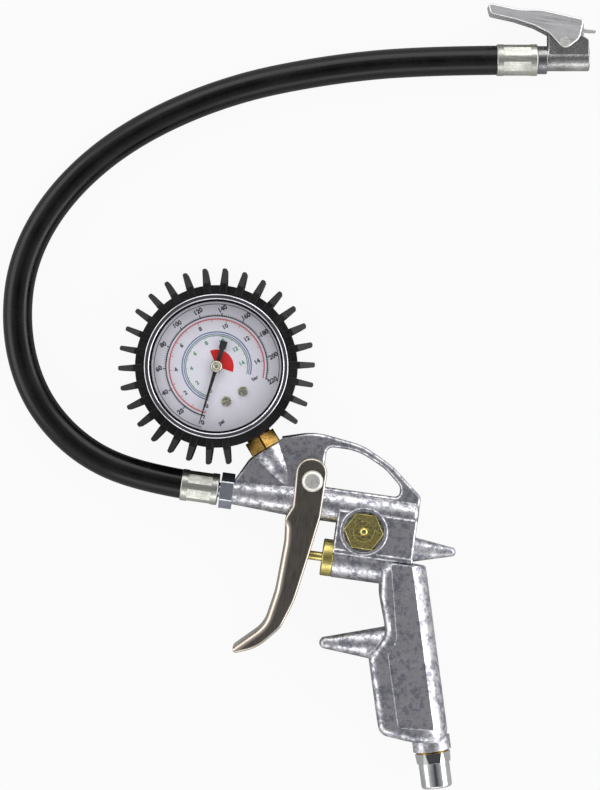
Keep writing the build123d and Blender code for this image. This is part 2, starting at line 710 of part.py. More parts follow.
def chuck_depressor():
    """The brass peg that opens the tyre valve, on a three-legged spider."""
    x = CHUCK_END - MOUTH_L - MOUTH_SEAL_L
    peg = bar((x, 0, 0), (x + MOUTH_SEAL_L - 0.2, 0, 0), 0.8)
    spider = bar((x, 0, 0), (x + 0.8, 0, 0), 1.95)
    for turn in range(3):
        spider -= Rot(turn * 120, 0, 0) * bar((x - 1, 1.35, 0), (x + 2, 1.35, 0), 0.45)
    return chuck_frame() * (peg + spider)


def chuck_lever():
    """The bent sheet lever over the ears, with cheeks on the pivot pin."""
    x, y = LEVER_PIVOT
    half = EAR_OUT + 2 * RUN + LEVER_SHEET
    side = outline((-4.3, 25, 1.2), (10, 21.9, 30), (19, 22, 20), (38.5, 17.6, 2), (36.5, 9, 5),
                   (x, y - 3.6, 3.2), (23, 11.2, 4), (16.5, 14.6, 6), (7.5, 17.5, 20), (-2.9, 19.8, 1.2))
    body = round_rims(plate(side, -half, half), 0.8)
    inside = outline((-9, 25, 1), (10, 20.9, 30), (19, 21, 20), (37.2, 16.9, 1), (45, 12, 1), (45, -5, 1),
                     (-9, -5, 1))
    body -= plate(inside, -half + LEVER_SHEET, half - LEVER_SHEET)
    return chuck_frame() * (body - disc(x, y, -10, 10, LEVER_PIN_R + RUN))


def chuck_claw():
    """The steel claw that grips the tyre valve, hung from the lever's front."""
    side = outline((CLAW_X, 3.4, 0.3), (CLAW_X, 16.4, 0.5), (CLAW_X + CLAW_T, 16.4, 0.5),
                   (CLAW_X + CLAW_T, 13.6, 0.4), (CHUCK_END + 3, 13.0, 0.3), (CHUCK_END + 3, 12.0, 0.3),
                   (CLAW_X + CLAW_T, 12.4, 0.4), (CLAW_X + CLAW_T, 3.4, 0.3))
    body = plate(side, -CLAW_HALF, CLAW_HALF)
    return chuck_frame() * (body - bar((CLAW_X - 1, 0, 0), (CLAW_X + 3, 0, 0), MOUTH_R + RUN))


def chuck_lever_pin():
    """The rivet through the lever's cheeks and the ears."""
    x, y = LEVER_PIVOT
    half = EAR_OUT + 2 * RUN + LEVER_SHEET + RUN
    pin = disc(x, y, -half, half, LEVER_PIN_R)
    for z0 in (-half - 0.8, half):
        pin += disc(x, y, z0, z0 + 0.8, LEVER_PIN_R + 0.9)
    return chuck_frame() * pin


def chuck_spring():
    """The torsion spring round the pin, under the lever."""
    x, y = LEVER_PIVOT
    coil = helix(LEVER_PIN_R + 0.5, 0.3, 2 * EAR_IN - 2, 5)
    return chuck_frame() * (Pos(x, y, 1 - EAR_IN) * coil)


# ---------------------------------------------------------------- gauge shell
def gauge_frame():
    """The gauge's own axes: the stem leaves it along -y."""
    return Pos(boss_face() - stem_direction() * STEM_REACH) * Rot(0, 0, STEM_TILT)


def gauge_boot():
    """The rubber boot: a cup with radial fins, left bare around the stem."""
    cup = disc(0, 0, -SIDE_HALF, BOOT_FRONT_Z, BOOT_R)
    body = cup - disc(0, 0, CASE_BACK_Z, BOOT_FRONT_Z + 1, CASE_R + RUN)
    body = fillet(body.edges().filter_by(GeomType.CIRCLE).group_by(Axis.Z)[0], 1.5)
    inner = BEZEL_R + 0.7
    top = BOOT_FRONT_Z + 0.6
    low = 2 - SIDE_HALF
    side = make_face(Polyline((inner, BOOT_FRONT_Z - 2), (inner, top), (BOOT_R + 1, top),
                              (FIN_R, BOOT_FRONT_Z - 3.5), (FIN_R, low + 1), (FIN_R - 2.5, low - 1.6),
                              (inner, low - 1.6), (inner, low), (BOOT_R - 1, low),
                              (BOOT_R - 1, BOOT_FRONT_Z - 2), close=True))
    fin = Rot(90, 0, 0) * (Pos(0, 0, -FIN_T / 2) * extrude(side, amount=FIN_T))
    taper = make_face(Polyline((inner - 1, -FIN_T / 2), (BOOT_R, -FIN_T / 2), (FIN_R + 1, -FIN_TIP_T / 2),
                               (FIN_R + 1, FIN_TIP_T / 2), (BOOT_R, FIN_T / 2), (inner - 1, FIN_T / 2), close=True))
    fin &= plate(taper, -SIDE_HALF, SIDE_HALF + 2)
    fin = fillet(fin.edges().filter_by(Axis.Z).sort_by(Axis.X)[-2:], FIN_TIP_T / 2 - 0.15)
    for k in range(FIN_COUNT):
        body += Rot(0, 0, 2 * FIN_STEP - 90 + k * FIN_STEP) * fin
    return gauge_frame() * (body - bar((0, 0, 0), (0, -FIN_R, 0), NECK_R + RUN))


def gauge_case():
    """The steel cup with a ledge for the lens and a hole for the stem's neck."""
    body = disc(0, 0, CASE_BACK_Z, CASE_FRONT_Z, CASE_R)
    inner = CASE_R - CASE_WALL
    body -= disc(0, 0, CASE_BACK_Z + 1.5, CASE_FRONT_Z + 1, inner)
    body += ring(0, 0, LENS_BACK_Z - GASKET_T - 0.8, LENS_BACK_Z - GASKET_T, inner + 0.2, inner - 1.4)
    return gauge_frame() * (body - bar((0, 0, 0), (0, -FIN_R, 0), NECK_R + RUN))


def gauge_bezel():
    """The bright snap-on ring that holds the lens."""
    back = BOOT_FRONT_Z + 0.1
    lip = ring(0, 0, LENS_BACK_Z + LENS_T + RUN, BEZEL_FRONT_Z, BEZEL_R, BEZEL_LIP_R)
    lip = fillet(lip.edges().filter_by(GeomType.CIRCLE).group_by(Axis.Z)[-1], 0.6)
    return gauge_frame() * (lip + ring(0, 0, back, BEZEL_FRONT_Z - 1, BEZEL_R, CASE_R + RUN))


def gauge_lens():
    """The clear lens."""
    return gauge_frame() * disc(0, 0, LENS_BACK_Z, LENS_BACK_Z + LENS_T, CASE_R - CASE_WALL - RUN)


def lens_gasket():
    """The ring under the lens."""
    outer = CASE_R - CASE_WALL - RUN
    return gauge_frame() * ring(0, 0, LENS_BACK_Z - GASKET_T, LENS_BACK_Z, outer, outer - 1.2)


def screw_places():
    """Where the two dial screws sit, beside the stem's line."""
    places = []
    for side in (-1, 1):
        angle = math.radians(side * SCREW_SPREAD)
        places.append((SCREW_REACH * math.sin(angle), -SCREW_REACH * math.cos(angle)))
    return places


def gauge_dial():
    """The dial plate with holes for the arbor and its two screws."""
    body = disc(0, 0, DIAL_Z, DIAL_Z + DIAL_T, DIAL_R) - disc(0, 0, 0, 20, ARBOR_R + 0.7)
    for x, y in screw_places():
        body -= disc(x, y, 0, 20, SCREW_R + 0.1)
    return gauge_frame() * body


def dial_screws():
    """The two slotted brass screws that hold the dial to the socket's posts."""
    body = None
    for side, (x, y) in zip((-1, 1), screw_places()):
        top = DIAL_Z + DIAL_T + SCREW_HEAD_H
        screw = disc(x, y, DIAL_Z + DIAL_T, top, SCREW_HEAD_R)
        screw = fillet(screw.edges().filter_by(GeomType.CIRCLE).group_by(Axis.Z)[-1], 0.3)
        screw += disc(x, y, DIAL_Z - SCREW_L, DIAL_Z + DIAL_T, SCREW_R)
        slot = Pos(x, y, top) * Rot(0, 0, 35 * side) * Box(2 * SCREW_HEAD_R + 1, 0.6, 0.8)
        body = screw - slot if body is None else body + (screw - slot)
    return gauge_frame() * body


# ---------------------------------------------------------------- gauge works
def gauge_socket():
    """The brass stem: thread, wrench flats, neck, and the block inside the case."""
    face = -STEM_REACH
    body = bar((0, face + STEM_FLATS_L + 0.2, 0), (0, face - STEM_THREAD_L + 1, 0), STEM_THREAD_R)
    seat = Plane(origin=(0, face + STEM_FLATS_L, 0), x_dir=(1, 0, 0), z_dir=(0, -1, 0))
    flats = seat * hexagon(STEM_FLATS, STEM_FLATS_L - 0.1, 30)
    flats &= bar((0, face + STEM_FLATS_L, 0), (0, face, 0), STEM_FLATS * 0.56)
    body += flats + bar((0, face + STEM_FLATS_L, 0), (0, -27, 0), NECK_R)
    body += block(-5.4, 5.4, -28.6, -24, SOCKET_BACK, NECK_R - 0.2)
    body += block(-SOCKET_HALF, SOCKET_HALF, -27.8, -6, SOCKET_BACK, PLATE_Z0)
    for x, y in screw_places():
        body += disc(x, y, PLATE_Z0 - 1, DIAL_Z, POST_R)
        body -= disc(x, y, DIAL_Z - SCREW_L - 0.5, DIAL_Z + 1, SCREW_R)
    body -= bar((0, face - STEM_THREAD_L, 0), (0, -20, 0), 1.6)
    return gauge_frame() * body


def bourdon_tube():
    """The flattened C-shaped tube that straightens under pressure."""
    def section(width, height):
        return Plane.XZ * (Pos(TUBE_MID_R, TUBE_Z) * RectangleRounded(width, height, width / 2 - 0.05))
    wall = section(TUBE_W, TUBE_H) - section(TUBE_W - 0.8, TUBE_H - 0.8)
    arc = revolve(wall, Axis.Z, TUBE_SWEEP)
    return gauge_frame() * (Rot(0, 0, TUBE_TIP_ANGLE) * arc)


def tube_tip():
    """The cap soldered on the tube's free end, with a lug under the link."""
    half = TUBE_H / 2 + 0.3
    cap = block(TUBE_MID_R - 2.4, TUBE_MID_R + 1.6, -3, 0, TUBE_Z - half, TUBE_Z + half)
    lug = disc(TUBE_MID_R - 1.6, -1.6, TUBE_Z, LINK_Z - 0.1, 1.2)
    return gauge_frame() * (Rot(0, 0, TUBE_TIP_ANGLE) * (cap + lug))


def movement_plate(z0, z1):
    """One flat brass plate of the movement, drilled for both arbors."""
    body = plate(outline((-6.6, -12.9, 1), (6.6, -12.9, 1), (6.6, 5, 2), (-6.6, 5, 2)), z0, z1)
    body -= disc(0, 0, z0 - 1, z1 + 1, ARBOR_R + RUN)
    return body - disc(0, -SECTOR_DROP, z0 - 1, z1 + 1, ARBOR_R + RUN)


def movement_back_plate():
    """The plate on the socket."""
    return gauge_frame() * movement_plate(PLATE_Z0, PLATE_Z0 + PLATE_T)


def movement_front_plate():
    """The plate under the dial."""
    return gauge_frame() * movement_plate(PLATE_Z1, PLATE_Z1 + PLATE_T)


def movement_pillars():
    """The three pillars between the plates."""
    body = None
    for x, y in PILLARS:
        pillar = disc(x, y, PLATE_Z0 + PLATE_T, PLATE_Z1, PILLAR_R)
        body = pillar if body is None else body + pillar
    return gauge_frame() * body


def movement_screws():
    """The three cheese-head screws on the front plate, over the pillars."""
    body = None
    for x, y in PILLARS:
        top = PLATE_Z1 + PLATE_T
        screw = disc(x, y, top, top + 0.7, PILLAR_R) - Pos(x, y, top + 0.7) * Box(3, 0.35, 0.6)
        body = screw if body is None else body + screw
    return gauge_frame() * body


def gear_tooth(root_r, tip_r):
    """A flat tooth pointing along +y from the gear's centre."""
    half = 0.5 * math.pi * GEAR_MODULE * TOOTH_SHARE
    return make_face(Polyline((-half * 1.3, root_r - 0.2), (-half * 0.5, tip_r), (half * 0.5, tip_r),
                              (half * 1.3, root_r - 0.2), close=True))


def pointer_arbor():
    """The pinion's shaft, which carries the pointer through the dial."""
    pitch = GEAR_MODULE * PINION_TEETH / 2
    body = disc(0, 0, PLATE_Z0 + 0.1, POINTER_Z + 1.6, ARBOR_R)
    body += disc(0, 0, GEAR_Z0 - 0.2, GEAR_Z1 + 0.2, pitch - 1.2 * GEAR_MODULE)
    tooth = gear_tooth(pitch - 1.2 * GEAR_MODULE, pitch + 0.8 * GEAR_MODULE)
    for k in range(PINION_TEETH):
        turn = (k + 0.5) * 360 / PINION_TEETH
        body += Rot(0, 0, 180 + turn) * plate(tooth, GEAR_Z0 - 0.2, GEAR_Z1 + 0.2)
    return gauge_frame() * body


def sector_gear():
    """The toothed sector with its arbor and the tail pin that the link pulls."""
    pitch = GEAR_MODULE * SECTOR_TEETH / 2
    root = pitch - 1.2 * GEAR_MODULE
    step = 360 / SECTOR_TEETH
    low = -(SECTOR_TOOTH_COUNT - 2) * step
    span = (SECTOR_TOOTH_COUNT - 1) * step
    rim = plate(Circle(root) - Circle(root - 1.6), GEAR_Z0, GEAR_Z1)
    body = rim & plate(make_face(pie(root + 2, 90 + low - 3, span + 6)), GEAR_Z0, GEAR_Z1)
    tooth = gear_tooth(root, pitch + 0.8 * GEAR_MODULE)
    for k in range(SECTOR_TOOTH_COUNT):
        body += Rot(0, 0, low + k * step) * plate(tooth, GEAR_Z0, GEAR_Z1)
    for angle in (90 + low, 90 + low + span):
        body += Rot(0, 0, angle) * block(0, root - 0.5, -0.6, 0.6, GEAR_Z0, GEAR_Z1)
    body += Rot(0, 0, TAIL_ANGLE) * block(0, TAIL_R, -0.8, 0.8, GEAR_Z0, GEAR_Z1)
    body += disc(0, 0, GEAR_Z0, GEAR_Z1, 1.8)
    body += disc(0, 0, PLATE_Z0 + 0.1, PLATE_Z1 + PLATE_T, ARBOR_R)
    x, y = tail_place()
    body += disc(x, y, GEAR_Z0, GEAR_Z1, 0.9) + disc(x, y, GEAR_Z1, LINK_Z + LINK_T + 0.2, LINK_PIN_R)
    return gauge_frame() * (Pos(0, -SECTOR_DROP, 0) * body)


def pie(radius, start, span):
    """The outline of a slice of a circle from its centre."""
    arc = CenterArc((0, 0), radius, start, span)
    return arc + Polyline(arc @ 1, (0, 0), arc @ 0)


def tail_place():
    """The link pin on the sector's tail, from the sector's arbor."""
    angle = math.radians(TAIL_ANGLE)
    return TAIL_R * math.cos(angle), TAIL_R * math.sin(angle)


def movement_link():
    """The flat link from the sector's tail to the tube's tip."""
    x, y = tail_place()
    near = Vector(x, y - SECTOR_DROP, 0)
    tip = math.radians(TUBE_TIP_ANGLE)
    far = Vector((TUBE_MID_R - 1.6) * math.cos(tip) + 1.6 * math.sin(tip),
                 (TUBE_MID_R - 1.6) * math.sin(tip) - 1.6 * math.cos(tip), 0)
    angle = math.degrees(math.atan2((far - near).Y, (far - near).X))
    length = (far - near).length
    body = block(0, length, -0.55, 0.55, 0, LINK_T)
    body += disc(0, 0, 0, LINK_T, 1.0) + disc(length, 0, 0, LINK_T, 1.0)
    body -= disc(0, 0, -1, 2, LINK_PIN_R + RUN) + disc(length, 0, -1, 2, LINK_PIN_R)
    return gauge_frame() * (Pos(near.X, near.Y, LINK_Z) * Rot(0, 0, angle) * body)


def hairspring():
    """The flat spiral that takes up the play, made of half rings."""
    body = None
    for k in range(HAIR_TURNS * 2):
        inner = ARBOR_R + 0.5 + k * HAIR_PITCH / 2
        half = ring(0, 0, HAIR_Z, HAIR_Z + 0.8, inner + HAIR_T, inner)
        sign = 1 if k % 2 else -1
        half &= block(-20, 20, min(0, sign * 20), max(0, sign * 20), HAIR_Z, HAIR_Z + 0.8)
        half = Pos(HAIR_PITCH / 4 * sign, 0, 0) * half
        body = half if body is None else body + half
    return gauge_frame() * body


def gauge_pointer():
    """The black pointer with its counterweight and hub."""
    needle = make_face(Polyline((-0.9, -POINTER_TAIL + 4), (-1.5, -POINTER_TAIL + 3.4), (-1.5, -POINTER_TAIL),
                                (1.5, -POINTER_TAIL), (1.5, -POINTER_TAIL + 3.4), (0.9, -POINTER_TAIL + 4),
                                (0.9, 0), (0.15, POINTER_REACH), (-0.15, POINTER_REACH), (-0.9, 0),
                                close=True))
    body = plate(needle, POINTER_Z, POINTER_Z + POINTER_T)
    body += disc(0, 0, POINTER_Z, POINTER_Z + 1.7, POINTER_HUB_R)
    body = Rot(0, 0, -POINTER_REST) * body
    return gauge_frame() * (body - disc(0, 0, POINTER_Z - 1, POINTER_Z + 1.6, ARBOR_R))


# ---------------------------------------------------------------- the whole tool
TOOL = [
    body_casting, trigger, trigger_pin, trigger_pin_clip, valve_gland, stem_o_ring, valve_stem, valve_seal,
    valve_spring, bleed_plug, bleed_button, bleed_seal, bleed_spring, inlet_connector, inlet_washer,
    inlet_screen, nose_nut, hose_ferrule_gun, gauge_boot, gauge_case, gauge_bezel, gauge_lens, lens_gasket,
    gauge_dial, dial_screws, gauge_socket, bourdon_tube, tube_tip, movement_back_plate, movement_front_plate,
    movement_pillars, movement_screws, pointer_arbor, sector_gear, movement_link, hairspring, gauge_pointer,
]
CORD = [
    hose, hose_ferrule_chuck, chuck_adapter, chuck_body, chuck_seal, chuck_depressor, chuck_lever,
    chuck_claw, chuck_lever_pin, chuck_spring,
]


def standing_offset(shapes):
    """The move that puts the middle of the tool's base at the origin."""
    box = Compound(children=list(shapes)).bounding_box()
    return Vector(-(box.min.X + box.max.X) / 2, -(box.min.Y + box.max.Y) / 2, -box.min.Z)


def build():
    """Every node by name, in the stored frame, and the move that took it there."""
    tool = {make.__name__: make() for make in TOOL}
    cord = {make.__name__: make() for make in CORD}
    offset = standing_offset([copy.copy(shape) for shape in tool.values()])
    nodes = {name: Pos(offset) * shape for name, shape in {**tool, **cord}.items()}
    return nodes, offset


if __name__ == "__main__":
    os.makedirs("parts", exist_ok=True)
    pieces, moved = build()
    print("moved by", moved)
    for name, shape in pieces.items():
        export_step(shape, f"parts/{name}.step")
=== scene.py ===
"""Studio scene of a pistol-grip tyre inflator with a dial gauge, a hose and a clip-on chuck."""

import math

import bpy
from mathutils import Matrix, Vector


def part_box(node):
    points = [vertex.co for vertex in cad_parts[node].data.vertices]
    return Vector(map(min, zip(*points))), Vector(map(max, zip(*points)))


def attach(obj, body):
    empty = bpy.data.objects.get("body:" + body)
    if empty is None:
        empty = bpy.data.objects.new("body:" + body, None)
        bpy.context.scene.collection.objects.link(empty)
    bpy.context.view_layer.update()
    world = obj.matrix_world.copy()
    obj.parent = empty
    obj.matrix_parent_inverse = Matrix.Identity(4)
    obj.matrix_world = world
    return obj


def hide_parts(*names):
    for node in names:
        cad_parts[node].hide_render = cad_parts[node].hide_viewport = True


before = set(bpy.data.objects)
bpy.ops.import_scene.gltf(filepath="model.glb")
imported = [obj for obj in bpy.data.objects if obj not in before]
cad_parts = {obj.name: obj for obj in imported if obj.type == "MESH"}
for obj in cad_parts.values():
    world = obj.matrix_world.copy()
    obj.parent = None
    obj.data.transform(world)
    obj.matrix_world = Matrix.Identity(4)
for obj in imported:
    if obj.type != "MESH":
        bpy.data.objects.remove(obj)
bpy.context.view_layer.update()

MM = 0.001

# ---------------------------------------------------------------- places on the tool
MID_Z = 13 * MM  # height of the tool's middle plane


def middle(node):
    """The centre of a CAD node's box."""
    low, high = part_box(node)
    return (low + high) / 2


PIVOT = Vector((middle("trigger_pin").x, middle("trigger_pin").y, MID_Z))
DIAL_CENTRE = middle("gauge_dial")
DIAL_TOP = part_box("gauge_dial")[1].z
GAUGE_TURN = math.radians(39)  # the stem leaves the gauge 39 degrees off straight down

# ---------------------------------------------------------------- camera
VIEW_HEIGHT = 349.2 * MM
VIEW_TURN = math.radians(8)
VIEW_CENTRE = PIVOT + Vector((-10.7, 36.7, 0)) * MM
LENS = 135
SENSOR = 36


def add_camera():
    """A long lens straight above the tool, turned with the barrel."""
    data = bpy.data.cameras.new("camera")
    data.lens = LENS
    data.sensor_width = SENSOR
    camera = bpy.data.objects.new("camera", data)
    bpy.context.scene.collection.objects.link(camera)
    height = VIEW_HEIGHT * LENS / SENSOR
    camera.location = VIEW_CENTRE + Vector((0, 0, height))
    camera.rotation_euler = (0, 0, VIEW_TURN)
    bpy.context.scene.camera = camera
    bpy.context.scene.view_settings.view_transform = "Standard"


# ---------------------------------------------------------------- hose
HOSE_RADIUS = 6.5 * MM
HOSE_REST = -6.4  # the hose lies on the floor, this far below the middle plane
HOSE_ROUTE = [
    (-43.5, -9.7, 0), (-73, -9.7, 0), (-103, -1.9, -2.6), (-126.9, 17.8, -5.6),
    (-139.8, 46, HOSE_REST), (-141.5, 79, HOSE_REST), (-128.6, 111.2, HOSE_REST),
    (-102.4, 140.8, HOSE_REST), (-62.6, 166, HOSE_REST), (-18, 181.9, HOSE_REST),
    (25.985, 191.922, -5.4), (70.052, 198.115, -5.4),
]


def add_hose():
    """The rubber hose as one smooth curve through its route, from ferrule to ferrule."""
    curve = bpy.data.curves.new("rubber_hose", "CURVE")
    curve.dimensions = "3D"
    spline = curve.splines.new("NURBS")
    spline.points.add(len(HOSE_ROUTE) - 1)
    for point, place in zip(spline.points, HOSE_ROUTE):
        point.co = (*(PIVOT + Vector(place) * MM), 1)
    spline.order_u = 3
    spline.use_endpoint_u = True
    spline.resolution_u = 24
    hose = bpy.data.objects.new("rubber_hose", curve)
    bpy.context.scene.collection.objects.link(hose)
    centreline = [point.co.copy() for point in hose.to_mesh().vertices]
    hose.to_mesh_clear()
    curve.bevel_depth = HOSE_RADIUS
    curve.bevel_resolution = 10
    curve.use_fill_caps = True
    deselect()
    hose.select_set(True)
    bpy.context.view_layer.objects.active = hose
    bpy.ops.object.convert(target="MESH")
    bpy.ops.object.mode_set(mode="EDIT")
    bpy.ops.mesh.select_all(action="SELECT")
    bpy.ops.mesh.remove_doubles(threshold=0.01 * MM)
    bpy.ops.mesh.normals_make_consistent(inside=False)
    bpy.ops.object.mode_set(mode="OBJECT")
    bpy.ops.object.shade_smooth_by_angle(angle=math.radians(40))
    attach(hose, "tool")
    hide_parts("hose")
    return hose


# ---------------------------------------------------------------- shader helpers
def add_node(tree, kind, inputs=None, **settings):
    """A shader node with its settings, and each input linked or set."""
    node = tree.nodes.new("ShaderNode" + kind)
    for key, value in settings.items():
        setattr(node, key, value)
    for key, value in (inputs or {}).items():
        if isinstance(value, bpy.types.NodeSocket):
            tree.links.new(value, node.inputs[key])
        else:
            node.inputs[key].default_value = value
    return node


def new_group(name, inputs, outputs):
    """An empty node group with named sockets."""
    tree = bpy.data.node_groups.new(name, "ShaderNodeTree")
    for label, value in inputs.items():
        kind = "NodeSocketColor" if isinstance(value, tuple) else "NodeSocketFloat"
        tree.interface.new_socket(label, in_out="INPUT", socket_type=kind).default_value = value
    for label, kind in outputs.items():
        tree.interface.new_socket(label, in_out="OUTPUT", socket_type="NodeSocket" + kind)
    return tree, tree.nodes.new("NodeGroupInput").outputs, tree.nodes.new("NodeGroupOutput").inputs


def use_group(tree, group, **inputs):
    """A node group placed in a material with its own values; returns its outputs."""
    node = tree.nodes.new("ShaderNodeGroup")
    node.node_tree = group
    for key, value in inputs.items():
        label = key.replace("_", " ")
        if isinstance(value, bpy.types.NodeSocket):
            tree.links.new(value, node.inputs[label])
        else:
            node.inputs[label].default_value = value
    return node.outputs


def math_node(tree, operation, first, second=0.0, clamp=False):
    """One arithmetic step; returns its output."""
    inputs = {0: first, 1: second}
    return add_node(tree, "Math", inputs, operation=operation, use_clamp=clamp).outputs[0]


def weighted_sum(tree, first, first_share, second, second_share):
    """Two values added by their shares."""
    first = math_node(tree, "MULTIPLY", first, first_share)
    second = math_node(tree, "MULTIPLY", second, second_share)
    return math_node(tree, "ADD", first, second)


def noise(tree, place, scale, detail, **more):
    """A noise pattern's strength at each place."""
    inputs = {"Vector": place, "Scale": scale, "Detail": detail, **more}
    return add_node(tree, "TexNoise", inputs).outputs["Fac"]


def sized_place(tree, size):
    """Places in the piece's own frame, scaled by a group's size."""
    place = add_node(tree, "TexCoord").outputs["Object"]
    return add_node(tree, "VectorMath", {0: place, 3: size}, operation="SCALE").outputs["Vector"]


def spread(tree, value, low, high, to_low=0.0, to_high=1.0):
    """A value's range stretched to a new one, held at its ends."""
    inputs = {"Value": value, "From Min": low, "From Max": high, "To Min": to_low, "To Max": to_high}
    return add_node(tree, "MapRange", inputs).outputs["Result"]


def blend_colours(tree, share, first, second, how="MIX"):
    """Two colours blended by a share between 0 and 1."""
    node = add_node(tree, "Mix", {0: share, 6: first, 7: second}, data_type="RGBA", blend_type=how)
    return node.outputs[2]


# ---------------------------------------------------------------- shared effects
def rubbed_edges_group():
    """Where corners stand out and get rubbed bright, broken up a little."""
    tree, given, out = new_group("rubbed edges", {"Radius": 0.5 * MM, "Gain": 9.0}, {"Mask": "Float"})
    rounded = add_node(tree, "Bevel", {"Radius": given["Radius"]}, samples=6).outputs["Normal"]
    facing = add_node(tree, "NewGeometry").outputs["Normal"]
    match = add_node(tree, "VectorMath", {0: rounded, 1: facing}, operation="DOT_PRODUCT")
    apart = math_node(tree, "SUBTRACT", 1.0, match.outputs["Value"])
    edge = math_node(tree, "MULTIPLY", apart, given["Gain"], clamp=True)
    place = add_node(tree, "TexCoord").outputs["Object"]
    patches = noise(tree, place, 420.0, 3.0)
    broken = spread(tree, patches, 0.3, 0.6, 0.45, 1.0)
    tree.links.new(math_node(tree, "MULTIPLY", edge, broken, clamp=True), out["Mask"])
    return tree


def cast_skin_group():
    """The skin of a tumbled casting: waves, blotches and small pits."""
    patterns = {"Height": "Float", "Tone": "Float", "Pits": "Float"}
    tree, given, out = new_group("cast skin", {"Size": 1.0}, patterns)
    sized = sized_place(tree, given["Size"])
    waves = noise(tree, sized, 95.0, 2.0)
    blotches = noise(tree, sized, 430.0, 5.0, Roughness=0.62)
    grain = noise(tree, sized, 2200.0, 3.0)
    cells = add_node(tree, "TexVoronoi", {"Vector": sized, "Scale": 620.0, "Randomness": 1.0})
    pits = spread(tree, cells.outputs["Distance"], 0.05, 0.22, 1.0, 0.0)
    rare = spread(tree, blotches, 0.52, 0.62)
    pits = math_node(tree, "MULTIPLY", pits, rare)
    height = weighted_sum(tree, waves, 2.2, blotches, 0.55)
    height = math_node(tree, "ADD", height, math_node(tree, "MULTIPLY", grain, 0.12))
    height = math_node(tree, "SUBTRACT", height, math_node(tree, "MULTIPLY", pits, 0.35))
    tree.links.new(height, out["Height"])
    speckled = math_node(tree, "MULTIPLY", math_node(tree, "SUBTRACT", grain, 0.5), 0.35)
    speckled = math_node(tree, "ADD", blotches, speckled)
    tree.links.new(spread(tree, speckled, 0.38, 0.62), out["Tone"])
    tree.links.new(pits, out["Pits"])
    return tree


def fine_lines_group():
    """Fine scratches along one direction, from brushing or turning."""
    tree, given, out = new_group(
        "fine lines", {"Along X": 20.0, "Along Y": 900.0, "Along Z": 900.0, "Turn": 0.0},
        {"Height": "Float", "Tone": "Float"},
    )
    place = add_node(tree, "TexCoord").outputs["Object"]
    turning = {"Vector": place, "Angle": given["Turn"]}
    turned = add_node(tree, "VectorRotate", turning, rotation_type="Z_AXIS").outputs[0]
    scales = {0: given["Along X"], 1: given["Along Y"], 2: given["Along Z"]}
    scale = add_node(tree, "CombineXYZ", scales).outputs[0]
    stretched = add_node(tree, "VectorMath", {0: turned, 1: scale}, operation="MULTIPLY")
    lines = noise(tree, stretched.outputs["Vector"], 1.0, 4.0)
    tree.links.new(lines, out["Height"])
    tree.links.new(spread(tree, lines, 0.35, 0.65), out["Tone"])
    return tree


def handling_group():
    """Uneven gloss where hands and cloths have been."""
    tree, given, out = new_group("handling", {"Size": 1.0}, {"Smudge": "Float"})
    sized = sized_place(tree, given["Size"])
    broad = noise(tree, sized, 60.0, 2.0)
    close = noise(tree, sized, 700.0, 4.0)
    both = weighted_sum(tree, broad, 0.6, close, 0.4)
    tree.links.new(spread(tree, both, 0.38, 0.62), out["Smudge"])
    return tree


EDGES = rubbed_edges_group()
CAST_SKIN = cast_skin_group()
FINE_LINES = fine_lines_group()
HANDLING = handling_group()


# ---------------------------------------------------------------- materials
def new_material(name):
    """An empty material, its tree and its surface shader."""
    material = bpy.data.materials.new(name)
    material.use_nodes = True
    return material, material.node_tree, material.node_tree.nodes["Principled BSDF"]


def feed(tree, shader, **sockets):
    """Links or sets the surface shader's sockets."""
    for key, value in sockets.items():
        label = key.replace("_", " ")
        if isinstance(value, bpy.types.NodeSocket):
            tree.links.new(value, shader.inputs[label])
        else:
            shader.inputs[label].default_value = value


def soft_corners(tree, radius):
    """Normals that turn smoothly over small corners."""
    return add_node(tree, "Bevel", {"Radius": radius}, samples=6).outputs["Normal"]


def raised(tree, height, strength, distance, corners=None):
    """Normals lifted by a height pattern."""
    inputs = {"Height": height, "Strength": strength, "Distance": distance}
    if corners is not None:
        inputs["Normal"] = corners
    return add_node(tree, "Bump", inputs).outputs["Normal"]


def cast_aluminium():
    """Tumbled die-cast aluminium: mottled flats, pits, bright rubbed corners."""
    material, tree, shader = new_material("cast_aluminium")
    skin = use_group(tree, CAST_SKIN, Size=1.0)
    broad = use_group(tree, CAST_SKIN, Size=0.35)
    edge = use_group(tree, EDGES, Radius=0.5 * MM, Gain=2.0)["Mask"]
    tone = weighted_sum(tree, skin["Tone"], 0.6, broad["Tone"], 0.4)
    colour = blend_colours(
        tree, spread(tree, tone, 0.2, 0.8), (0.27, 0.27, 0.32, 1), (0.88, 0.88, 0.90, 1)
    )
    colour = blend_colours(tree, skin["Pits"], colour, (0.14, 0.14, 0.17, 1))
    colour = blend_colours(tree, math_node(tree, "MULTIPLY", edge, 0.3), colour, (0.80, 0.80, 0.80, 1))
    rough = spread(tree, tone, 0.1, 0.9, 0.46, 0.28)
    normal = raised(tree, skin["Height"], 0.6, 0.3 * MM, soft_corners(tree, 0.22 * MM))
    feed(tree, shader, Base_Color=colour, Metallic=1.0, Roughness=rough, Normal=normal)
    return material


